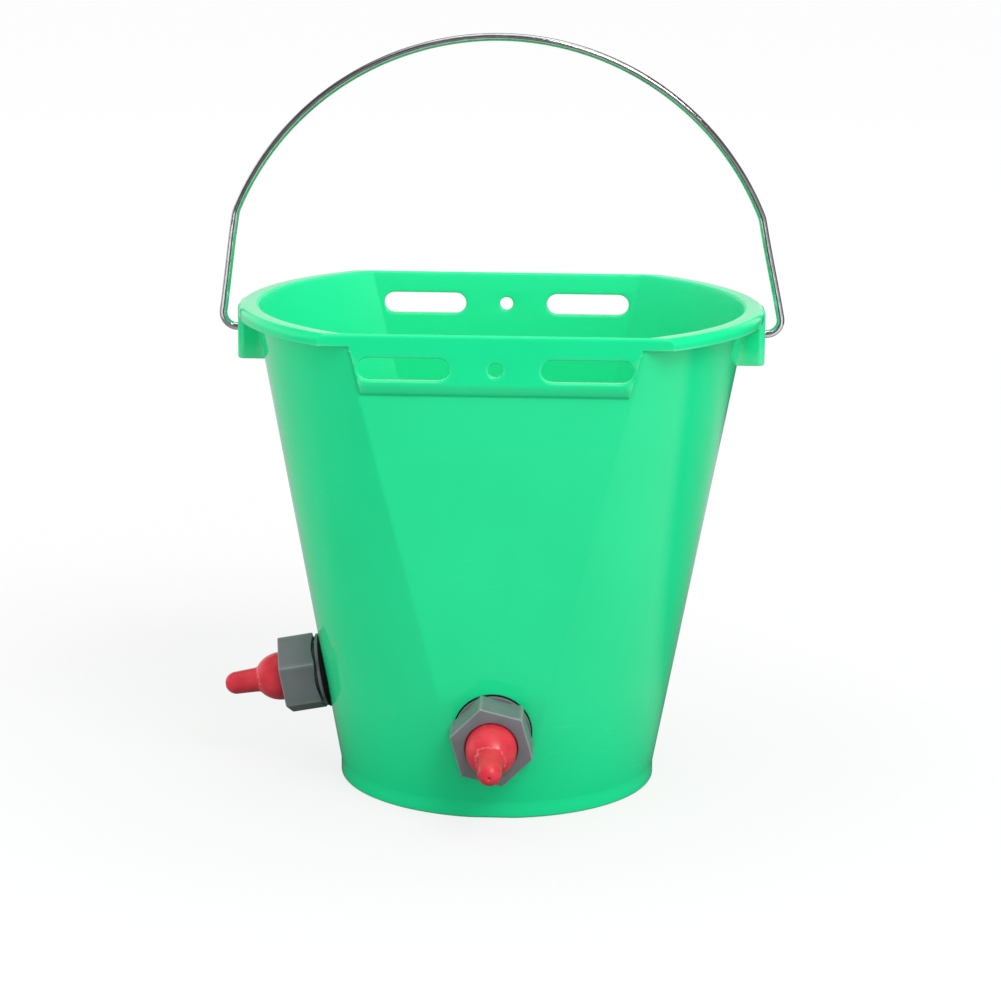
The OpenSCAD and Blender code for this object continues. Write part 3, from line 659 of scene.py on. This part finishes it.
def valve_grid():
    """The valve body: threaded stem, rounded collar and threaded spigot outside, and inside the teat's
    socket, the cage's bore, the ball's chamber with its seat cone, and the inlet."""
    stem = steps(STEM_LOW + 1, -0.2, 64)
    spigot = steps(COLLAR_FACE + 0.6, SPIGOT_END - 0.8, 44)
    stem_root, spigot_root = STEM_R - THREAD_DEPTH, SPIGOT_R - THREAD_DEPTH
    collar = soften([(STEM_R, 0), (STEM_R, GASKET_T), (COLLAR_R, GASKET_T), (COLLAR_R, COLLAR_FACE),
                     (spigot_root, COLLAR_FACE), (spigot_root, COLLAR_FACE + 0.5)], COLLAR_EDGE)[1:-1]
    mouth = soften([(spigot_root, SPIGOT_END - 0.5), (spigot_root, SPIGOT_END), (SOCKET_R, SPIGOT_END),
                    (SOCKET_R, SOCKET_FLOOR), (CAGE_R, SOCKET_FLOOR), (CAGE_R, CAGE_BACK),
                    (CHAMBER_R, CAGE_BACK), (CHAMBER_R, SEAT_TOP), (INLET_R, SEAT_LOW), (INLET_R, STEM_LOW),
                    (stem_root, STEM_LOW), (stem_root, STEM_LOW + 0.5)], SOCKET_EDGE, 4)
    rows = [thread(stem, ROUND, STEM_LOW, COLLAR_FACE, STEM_R, stem_root), collar[:, :1] + 0 * ROUND,
            thread(spigot, ROUND, COLLAR_FACE, SPIGOT_END, SPIGOT_R, spigot_root), mouth[:, :1] + 0 * ROUND]
    radius = np.concatenate(rows)
    height = np.concatenate([stem, collar[:, 1], spigot, mouth[:, 1]])[:, None] + 0 * ROUND
    return np.stack([radius * np.cos(ROUND), radius * np.sin(ROUND), height], -1)


def ring_grid(inner_r, outer_r, low, high):
    """A rubber ring with rounded edges, between two faces whose heights may change over the ring: low and
    high are functions of the sideways place."""
    inner_edge, outer_edge = inner_r + RING_EDGE, outer_r - RING_EDGE
    radius = np.array([outer_edge, outer_r, outer_r, outer_edge, inner_edge, inner_r, inner_r, inner_edge])
    share = np.array([0, 0.25, 0.75, 1, 1, 0.75, 0.25, 0])[:, None]
    x, y = radius[:, None] * np.cos(ROUND), radius[:, None] * np.sin(ROUND)
    return np.stack([x, y, low(x) + share * (high(x) - low(x))], -1)


# Materials

def add_node(tree, kind, inputs=None, **settings):
    """A new node with its settings; an input is linked where it is a socket, and otherwise set."""
    made = tree.nodes.new(kind)
    for name, value in settings.items():
        setattr(made, name, value)
    for key, value in (inputs or {}).items():
        if isinstance(value, bpy.types.NodeSocket):
            tree.links.new(value, made.inputs[key])
        else:
            made.inputs[key].default_value = value
    return made


def noise(tree, place, scale, detail=2.0, rough=0.5):
    """A soft random value by place."""
    made = add_node(tree, "ShaderNodeTexNoise", {"Vector": place, "Scale": scale, "Detail": detail,
                                                 "Roughness": rough})
    return made.outputs["Fac"]


def spread(tree, value, low, high, to_low=0.0, to_high=1.0):
    """The value carried from the range low to high into the range to_low to to_high, and held there."""
    made = add_node(tree, "ShaderNodeMapRange", {"Value": value, "From Min": low, "From Max": high,
                                                 "To Min": to_low, "To Max": to_high})
    return made.outputs["Result"]


def mottle(tree, value, to_low=0.0, to_high=1.0):
    """The middle of a noise's range carried into the range to_low to to_high."""
    return spread(tree, value, 0.3, 0.7, to_low, to_high)


def blend(tree, share, first, second):
    """The first colour, passing into the second with the share."""
    made = add_node(tree, "ShaderNodeMix", {0: share, 6: first, 7: second}, data_type="RGBA")
    return made.outputs[2]


def sums(tree, operation, first, second=0.0):
    """A sum of the named kind from two values."""
    return add_node(tree, "ShaderNodeMath", {0: first, 1: second}, operation=operation).outputs[0]


def plus(tree, first, second):
    """The first value and the second together."""
    return sums(tree, "ADD", first, second)


def times(tree, first, second):
    """The first value as many times as the second says."""
    return sums(tree, "MULTIPLY", first, second)


def moulded_skin():
    """Shared effect of moulded surfaces: a fine grain, broad soft patches, and sparse thin scuffs, all on
    Object coordinates, at sizes that each material sets."""
    tree = bpy.data.node_groups.new("moulded_skin", "ShaderNodeTree")
    for name in ("Grain scale", "Patch scale", "Scuff scale"):
        tree.interface.new_socket(name, in_out="INPUT", socket_type="NodeSocketFloat")
    for name in ("Grain", "Patches", "Scuffs"):
        tree.interface.new_socket(name, in_out="OUTPUT", socket_type="NodeSocketFloat")
    given = tree.nodes.new("NodeGroupInput")
    result = tree.nodes.new("NodeGroupOutput")
    place = tree.nodes.new("ShaderNodeTexCoord").outputs["Object"]
    grain = noise(tree, place, given.outputs["Grain scale"], 3.0, 0.6)
    patches = noise(tree, place, given.outputs["Patch scale"], 2.0)
    drawn = add_node(tree, "ShaderNodeMapping", {"Vector": place, "Rotation": (0.5, 0.3, 0.8),
                                                 "Scale": (1, 1, 9)})
    lines = noise(tree, drawn.outputs[0], given.outputs["Scuff scale"], 2.0)
    sparse = spread(tree, noise(tree, place, given.outputs["Patch scale"], 1.0), 0.5, 0.7)
    scuffs = times(tree, spread(tree, lines, 0.62, 0.72), sparse)
    tree.links.new(grain, result.inputs["Grain"])
    tree.links.new(patches, result.inputs["Patches"])
    tree.links.new(scuffs, result.inputs["Scuffs"])
    return tree


SKIN = moulded_skin()


def new_finish(name, grain, patch, scuff, **constants):
    """A material with its shader, and the shared skin effect at the given scales."""
    finish = bpy.data.materials.new(name)
    finish.use_nodes = True
    tree = finish.node_tree
    shader = tree.nodes["Principled BSDF"]
    for key, value in constants.items():
        shader.inputs[key.replace("_", " ")].default_value = value
    skin = add_node(tree, "ShaderNodeGroup", node_tree=SKIN)
    for key, value in (("Grain scale", grain), ("Patch scale", patch), ("Scuff scale", scuff)):
        skin.inputs[key].default_value = value
    return finish, tree, shader, skin.outputs


def set_surface(tree, shader, colour, rough, height, depth):
    """Colour, roughness, and a bump of the given depth in metres into the shader."""
    tree.links.new(colour, shader.inputs["Base Color"])
    tree.links.new(rough, shader.inputs["Roughness"])
    bump = add_node(tree, "ShaderNodeBump", {"Strength": 1.0, "Distance": depth, "Height": height})
    tree.links.new(bump.outputs[0], shader.inputs["Normal"])


# Colours, darker and paler where a finish is mottled between two
GREEN = (0.011, 0.765, 0.300, 1), (0.013, 0.805, 0.322, 1)
# Painted light: a paler green for the bucket's inside, and a pale green for scuffs and for painted highlights
# on sharp edges
GREEN_INSIDE_PAINTED_LIGHT, GREEN_SCUFF_AND_HIGHLIGHT = (0.012, 0.84, 0.372, 1), (0.30, 0.93, 0.60, 1)
GREY = (0.152, 0.165, 0.178, 1), (0.184, 0.196, 0.210, 1)
# Pale grey for the painted highlights on the nuts' rounded edges
GREY_EDGE_HIGHLIGHT = (0.40, 0.43, 0.44, 1)
RED = (0.66, 0.026, 0.045, 1), (0.76, 0.042, 0.064, 1)
RED_SCUFF, RED_BELOW_SKIN = (0.88, 0.36, 0.38, 1), (1.0, 0.25, 0.2)
BLACK = (0.005, 0.005, 0.006, 1), (0.014, 0.014, 0.015, 1)
WHITE = (0.74, 0.74, 0.71, 1), (0.80, 0.80, 0.77, 1)
ZINC = (0.58, 0.59, 0.61, 1), (0.86, 0.86, 0.87, 1)


def green_finish():
    """Glossy moulded green: broad faint tone patches, a soft wave in the surface, fine scuffs, painted
    highlights on sharp edges, and a duller inside with a paler colour that is painted light, where the face's
    direction points to the axis."""
    finish, tree, shader, skin = new_finish("green_moulded_plastic", 900, 14, 60, Specular_IOR_Level=0.38)
    pointed = tree.nodes.new("ShaderNodeNewGeometry").outputs["Pointiness"]
    where = tree.nodes.new("ShaderNodeTexCoord").outputs
    level = add_node(tree, "ShaderNodeVectorMath", {0: where["Object"], 1: (1, 1, 0)}, operation="MULTIPLY")
    facing = add_node(tree, "ShaderNodeVectorMath", {0: where["Normal"], 1: level.outputs[0]},
                      operation="DOT_PRODUCT")
    inside = spread(tree, facing.outputs["Value"], -0.03, -0.01, 1.0, 0.0)
    # Painted highlight: sharp edges, found by the mesh's pointiness, take a paler colour
    sharp = spread(tree, pointed, 0.515, 0.59, 0.0, 0.7)
    # Share of the pale colour: real scuffs, and the painted edge highlight
    pale_share = sums(tree, "MAXIMUM", times(tree, skin["Scuffs"], 0.06), sharp)
    # Painted light: faces that point to the axis take a paler, brighter green
    tone = blend(tree, inside, blend(tree, mottle(tree, skin["Patches"]), *GREEN), GREEN_INSIDE_PAINTED_LIGHT)
    colour = blend(tree, pale_share, tone, GREEN_SCUFF_AND_HIGHLIGHT)
    duller = plus(tree, times(tree, inside, 0.3), times(tree, skin["Scuffs"], 0.12))
    rough = plus(tree, mottle(tree, skin["Patches"], 0.07, 0.11), duller)
    wave = noise(tree, where["Object"], 45, 1.0)
    height = plus(tree, times(tree, skin["Grain"], 0.05), wave)
    set_surface(tree, shader, colour, rough, height, 0.0001)
    return finish


def grey_finish():
    """Satin moulded grey: fine grain, faint mottling, and painted highlights on rounded edges."""
    finish, tree, shader, skin = new_finish("grey_moulded_plastic", 2600, 60, 220)
    # Painted highlight: rounded edges, by the edge mark, take a paler grey, broken by the grain
    edge = add_node(tree, "ShaderNodeAttribute", attribute_name="edge").outputs["Fac"]
    pale_share = times(tree, edge, mottle(tree, skin["Grain"], 0.25, 0.6))
    colour = blend(tree, pale_share, blend(tree, mottle(tree, skin["Patches"]), *GREY), GREY_EDGE_HIGHLIGHT)
    rough = plus(tree, mottle(tree, skin["Grain"], 0.36, 0.46), times(tree, skin["Scuffs"], 0.15))
    set_surface(tree, shader, colour, rough, skin["Grain"], 0.00005)
    return finish


def red_finish():
    """Soft red rubber: fine satin grain, pale scuffs, a thin broken pale line that wanders round the
    nipple's root, and a little light passing below the skin."""
    finish, tree, shader, skin = new_finish(
        "red_soft_rubber", 3200, 110, 300, Subsurface_Weight=0.08, Subsurface_Scale=0.003,
        Subsurface_Radius=RED_BELOW_SKIN)
    from_root = add_node(tree, "ShaderNodeAttribute", attribute_name="from_root").outputs["Fac"]
    place = tree.nodes.new("ShaderNodeTexCoord").outputs["Object"]
    wander = spread(tree, noise(tree, place, 330, 3.0, 0.65), 0.25, 0.75, -1.6, 1.6)
    line = spread(tree, sums(tree, "ABSOLUTE", plus(tree, from_root, wander)), 0.05, 0.4, 1.0, 0.0)
    broken = spread(tree, noise(tree, place, 620, 2.0), 0.36, 0.52)
    pale = sums(tree, "MAXIMUM", times(tree, skin["Scuffs"], 0.3), times(tree, line, broken))
    tone = blend(tree, mottle(tree, skin["Patches"]), *RED)
    colour = blend(tree, times(tree, pale, 0.8), tone, RED_SCUFF)
    rough = mottle(tree, skin["Grain"], 0.26, 0.36)
    set_surface(tree, shader, colour, rough, skin["Grain"], 0.00005)
    return finish


def black_finish():
    """Matt black rubber with a dusty grain."""
    finish, tree, shader, skin = new_finish("black_rubber", 2400, 150, 300, Specular_IOR_Level=0.15)
    colour = blend(tree, spread(tree, skin["Grain"], 0.4, 0.8), *BLACK)
    rough = mottle(tree, skin["Patches"], 0.55, 0.72)
    set_surface(tree, shader, colour, rough, skin["Grain"], 0.00006)
    return finish


def white_finish():
    """Smooth white plastic, faintly mottled."""
    finish, tree, shader, skin = new_finish("white_moulded_plastic", 1800, 120, 250)
    colour = blend(tree, mottle(tree, skin["Patches"]), *WHITE)
    rough = mottle(tree, skin["Grain"], 0.28, 0.36)
    set_surface(tree, shader, colour, rough, skin["Grain"], 0.00003)
    return finish


def zinc_finish():
    """Bright zinc on drawn wire: long drawn streaks along the wire, small dents, and duller patches."""
    finish, tree, shader, skin = new_finish("bright_zinc_wire", 1500, 70, 300, Metallic=0.95)
    wire = add_node(tree, "ShaderNodeAttribute", attribute_name="wire").outputs["Vector"]
    drawn = add_node(tree, "ShaderNodeMapping", {"Vector": wire, "Scale": (30, 900, 900)})
    dented = add_node(tree, "ShaderNodeMapping", {"Vector": wire, "Scale": (160, 420, 420)})
    streaks = noise(tree, drawn.outputs[0], 1.0, 3.0, 0.6)
    dents = noise(tree, dented.outputs[0], 1.0, 2.0)
    colour = blend(tree, spread(tree, streaks, 0.35, 0.65), *ZINC)
    rough = plus(tree, spread(tree, skin["Patches"], 0.35, 0.7, 0.03, 0.10), times(tree, skin["Grain"], 0.03))
    height = plus(tree, dents, times(tree, streaks, 0.35))
    set_surface(tree, shader, colour, rough, height, 0.00014)
    return finish


green, grey, red, black = green_finish(), grey_finish(), red_finish(), black_finish()
white, zinc = white_finish(), zinc_finish()


# Pieces

add_piece("bucket_moulding", bucket_sheets(), green, "bucket", "green_plastic", ["bucket"])
for label, side in (("right", 1), ("left", -1)):
    add_piece(label + "_ear_plate", ear_sheets(side), green, "bucket", "green_plastic")

wire_sheet, wire_mark = bail_sheet()
add_piece("bail_wire", [wire_sheet], zinc, "bail", "steel_wire", ["bail"], {"wire": wire_mark})


def add_unit_piece(prefix, name, grid, finish, slot, node, body="bucket", **extra):
    """A piece of a teat unit, from its grid, closed both ways, in the unit's own directions."""
    closed = sheet(UNITS[prefix].place(grid), ring=True, loop=True)
    add_piece(f"{prefix}_{name}", [closed], finish, body, slot, [f"{prefix}_{node}"], **extra)


for prefix, bend in WALL_BEND.items():
    grid, from_root = teat_grid(TEAT_DROOP[prefix])
    add_unit_piece(prefix, "rubber_teat", grid, red, "red_rubber", "teat", prefix + "_teat",
                   marks={"from_root": from_root[..., None]}, sharp=RUBBER_SHARP)
    grid, edge = nut_grid(NUT_FLAT, NUT_CORNER, NUT_TURN[prefix], NUT_BACK, NUT_FACE, NUT_FRONT_EDGE,
                          NUT_BACK_EDGE, NUT_SCALLOP, cap_inside)
    add_unit_piece(prefix, "hexagon_cap", grid, grey, "grey_plastic", "cap_nut", prefix + "_nut",
                   marks={"edge": edge[..., None]})
    add_unit_piece(prefix, "threaded_valve", valve_grid(), grey, "grey_plastic", "valve_body")
    gasket = ring_grid(STEM_HOLE_R, GASKET_R, lambda x: -bend * x**2, lambda x: GASKET_T + 0 * x)
    add_unit_piece(prefix, "wall_gasket", gasket, black, "black_rubber", "gasket")
    washer = ring_grid(STEM_HOLE_R, WASHER_R, lambda x: WASHER_FACE + 0 * x, lambda x: -WALL - bend * x**2)
    add_unit_piece(prefix, "inner_washer", washer, black, "black_rubber", "washer")
    grid, edge = nut_grid(LOCK_FLAT, LOCK_CORNER, LOCK_TURN[prefix], LOCK_LOW, WASHER_FACE, LOCK_OUTER_EDGE,
                          LOCK_INNER_EDGE, 0.0, lock_inside)
    add_unit_piece(prefix, "stem_nut", grid, grey, "grey_plastic", "lock_nut", marks={"edge": edge[..., None]})
    for node in (prefix + "_check_ball", prefix + "_ball_cage"):
        inner = frame["nodes"][node].data
        inner.materials.clear()
        inner.materials.append(white)


# Studio

scene = bpy.context.scene
scene.view_settings.view_transform = "Standard"


# Floor as the camera sees it: its shade and its lift to white at three distances from the middle, in metres
FOOT_AT, OPEN_AT, FAR_AT = 0.14, 0.45, 2.0
FOOT_LIFT, OPEN_LIFT, FAR_LIFT = 0.79, 0.54, 0.65
# Painted shade: the floor's first shade is darker beside the foot, so that the bucket's lower wall gets less
# light from below
FOOT_PAINTED_SHADE, OPEN_SHADE = (0.16, 0.16, 0.16, 1), (0.42, 0.42, 0.42, 1)
FLOOR_HALF = 12.0

# Floor as glossy surfaces see it: a painted reflection that glows for glossy rays only. Four numbers are two
# places in metres and the strengths there, two are the places between which one strength passes into another
TABLE_FRONT, TABLE_NEAR = (-0.4, 0.45, 0.26, 0.85), (-0.3, 0.3, 0.40, 0.08)
TABLE_DEPTH, TABLE_BACK, TABLE_MIDDLE = (0.15, 0.55), 0.52, (0.02, 0.11)
TABLE_END, TABLE_FOOT = (0.8, 1.0), (0.1, 0.2, 0.15, 1.0)
BAND_COUNT, BAND_TONES = 4.0, (-0.35, 0.35, 1.1, 0.07)
ROOM_DEPTH, ROOM_BACK = (0.1, 0.5), (-0.3, 0.3, 0.6, 0.06)

# World: the fill light, and the room in reflections by the parts of the direction, in the same manner
AMBIENT = 0.79
FRONT_RISE, FRONT_LOW, FRONT_HIGH = (0.1, 0.45), (-0.7, 0.3, 0.06, 0.35), 0.04
BACK_RISE, BACK_LOW, BACK_HIGH = (0.3, 0.6), (0.45, 0.7, 0.9, 0.08), 0.06
ROOM_SIDES, CEILING = (-0.1, 0.15), (0.8, 0.95, 0.0, 0.8)


def floor_finish():
    """Pale matt floor with painted shade beside the foot: darker there, so that it throws less light back up
    onto the bucket's lower wall. Where the camera sees it straight it is lifted to white, by a share that
    follows its shade and the lamp light with the distance.
    Glossy surfaces see instead a painted reflection that glows, a table: bright at the front right, dim behind
    on the right, and farther out, light and dark by turns round the object, as the cosine of four times the
    bearing."""
    finish = bpy.data.materials.new("pale_floor")
    finish.use_nodes = True
    tree = finish.node_tree
    shader = tree.nodes["Principled BSDF"]
    shader.inputs["Roughness"].default_value = 0.9
    shader.inputs["Specular IOR Level"].default_value = 0.0
    shader.inputs["Emission Color"].default_value = (1, 1, 1, 1)
    path = tree.nodes.new("ShaderNodeLightPath").outputs
    place = tree.nodes.new("ShaderNodeTexCoord").outputs["Object"]
    distance = add_node(tree, "ShaderNodeVectorMath", {0: place}, operation="LENGTH").outputs["Value"]
    # Painted shade: the floor is darker beside the foot
    shade = blend(tree, spread(tree, distance, FOOT_AT, OPEN_AT), FOOT_PAINTED_SHADE, OPEN_SHADE)
    near_lift = spread(tree, distance, FOOT_AT, OPEN_AT, FOOT_LIFT, OPEN_LIFT)
    lift = spread(tree, distance, OPEN_AT, FAR_AT, near_lift, FAR_LIFT)
    tree.links.new(shade, shader.inputs["Base Color"])
    tree.links.new(times(tree, path["Is Camera Ray"], lift), shader.inputs["Emission Strength"])

    # Painted reflection: glossy rays see a glowing pattern here, not the floor
    across = add_node(tree, "ShaderNodeSeparateXYZ", {0: place}).outputs
    front = spread(tree, across["X"], *TABLE_FRONT)
    behind = spread(tree, across["Y"], *TABLE_DEPTH, spread(tree, across["X"], *TABLE_NEAR), TABLE_BACK)
    table = spread(tree, across["Y"], *TABLE_MIDDLE, front, behind)
    bearing = sums(tree, "ARCTAN2", across["X"], times(tree, across["Y"], -1.0))
    bands = spread(tree, sums(tree, "COSINE", times(tree, bearing, BAND_COUNT)), *BAND_TONES)
    room = spread(tree, across["Y"], *ROOM_DEPTH, bands, spread(tree, across["X"], *ROOM_BACK))
    mirrored = spread(tree, distance, *TABLE_END, table, room)
    strength = times(tree, mirrored, spread(tree, distance, *TABLE_FOOT))
    painted_reflection = add_node(tree, "ShaderNodeEmission", {"Strength": strength}).outputs[0]
    both = add_node(tree, "ShaderNodeMixShader", {0: path["Is Glossy Ray"], 1: shader.outputs[0], 2: painted_reflection})
    tree.links.new(both.outputs[0], tree.nodes["Material Output"].inputs["Surface"])
    return finish


floor_mesh = bpy.data.meshes.new("studio_floor")
floor_corners = FLOOR_HALF * np.array([(-1, -1, 0), (1, -1, 0), (1, 1, 0), (-1, 1, 0)])
floor_mesh.from_pydata(floor_corners.tolist(), [], [(0, 1, 2, 3)])
floor_mesh.materials.append(floor_finish())
studio_floor = bpy.data.objects.new("studio_floor", floor_mesh)
scene.collection.objects.link(studio_floor)


def studio_world():
    """White to the camera and through clear pieces, even fill light, and in reflections a room: low down a
    dim front that grows lighter to the right and a bright back that ends at the right, dark walls above
    them, and a bright ceiling."""
    world = bpy.data.worlds.new("white_studio")
    world.use_nodes = True
    sky = world.node_tree
    path = sky.nodes.new("ShaderNodeLightPath").outputs
    direction = sky.nodes.new("ShaderNodeTexCoord").outputs["Generated"]
    toward = add_node(sky, "ShaderNodeSeparateXYZ", {0: direction}).outputs
    front = spread(sky, toward["Z"], *FRONT_RISE, spread(sky, toward["X"], *FRONT_LOW), FRONT_HIGH)
    back = spread(sky, toward["Z"], *BACK_RISE, spread(sky, toward["X"], *BACK_LOW), BACK_HIGH)
    room = spread(sky, toward["Y"], *ROOM_SIDES, front, back)
    mirrored = plus(sky, room, spread(sky, toward["Z"], *CEILING))
    lit = spread(sky, path["Is Glossy Ray"], 0.0, 1.0, AMBIENT, mirrored)
    seen = sums(sky, "MAXIMUM", path["Is Camera Ray"], path["Is Transmission Ray"])
    backdrop = sky.nodes["Background"]
    backdrop.inputs["Color"].default_value = (1, 1, 1, 1)
    sky.links.new(spread(sky, seen, 0.0, 1.0, lit, 1.0), backdrop.inputs["Strength"])
    return world


scene.world = studio_world()


def soft_box(name, place, size, power, mirrored=True):
    """A rectangular lamp that faces the middle of the object, sizes in metres and power in watts. Fill lamps
    aren't mirrored in glossy surfaces."""
    lamp = bpy.data.lights.new(name, "AREA")
    lamp.shape = "RECTANGLE"
    lamp.size, lamp.size_y = size
    lamp.energy = power
    made = bpy.data.objects.new(name, lamp)
    away = np.array(place) - MIDDLE
    away = away / np.linalg.norm(away)
    right = np.cross((0, 0, 1), away)
    right = right / np.linalg.norm(right)
    turn = Matrix(np.stack([right, np.cross(away, right), away], 1).tolist()).to_4x4()
    made.matrix_world = Matrix.Translation(place) @ turn
    made.visible_camera = False
    made.visible_glossy = mirrored
    scene.collection.objects.link(made)


MIDDLE = np.array([0.0, 0.0, 0.16])
soft_box("right_key_box", (0.95, -1.65, 1.95), (1.2, 1.0), 26)
soft_box("left_fill_box", (-2.0, -0.6, 0.25), (1.0, 0.5), 10.4, mirrored=False)
soft_box("right_fill_box", (1.8, -0.9, 0.6), (1.0, 1.0), 10, mirrored=False)
soft_box("top_soft_box", (0.15, 0.1, 2.3), (1.4, 1.4), 4)


# Camera, matched to the photograph: turn, rise and roll in degrees, place in metres, length in pixels

CAMERA_TURN, CAMERA_RISE, CAMERA_ROLL = map(math.radians, (1.53, 12.924, 0.594))
CAMERA_PLACE = (0.04632, -1.714848, 0.556913)
FOCAL_PIXELS, IMAGE_PIXELS, SENSOR = 3022.908, 1001, 36.0
right = np.array([math.cos(CAMERA_TURN), math.sin(CAMERA_TURN), 0])
level_back = np.array([math.sin(CAMERA_TURN), -math.cos(CAMERA_TURN), 0])
back = math.cos(CAMERA_RISE) * level_back + math.sin(CAMERA_RISE) * np.array([0, 0, 1])
up = np.cross(back, right)
rolled = [math.cos(CAMERA_ROLL) * right + math.sin(CAMERA_ROLL) * up,
          -math.sin(CAMERA_ROLL) * right + math.cos(CAMERA_ROLL) * up, back]
lens = bpy.data.cameras.new("photo_camera")
lens.sensor_fit, lens.sensor_width = "HORIZONTAL", SENSOR
lens.lens = FOCAL_PIXELS * SENSOR / IMAGE_PIXELS
camera = bpy.data.objects.new("photo_camera", lens)
camera.matrix_world = Matrix.Translation(CAMERA_PLACE) @ Matrix(np.stack(rolled, 1).tolist()).to_4x4()
scene.collection.objects.link(camera)
scene.camera = camera
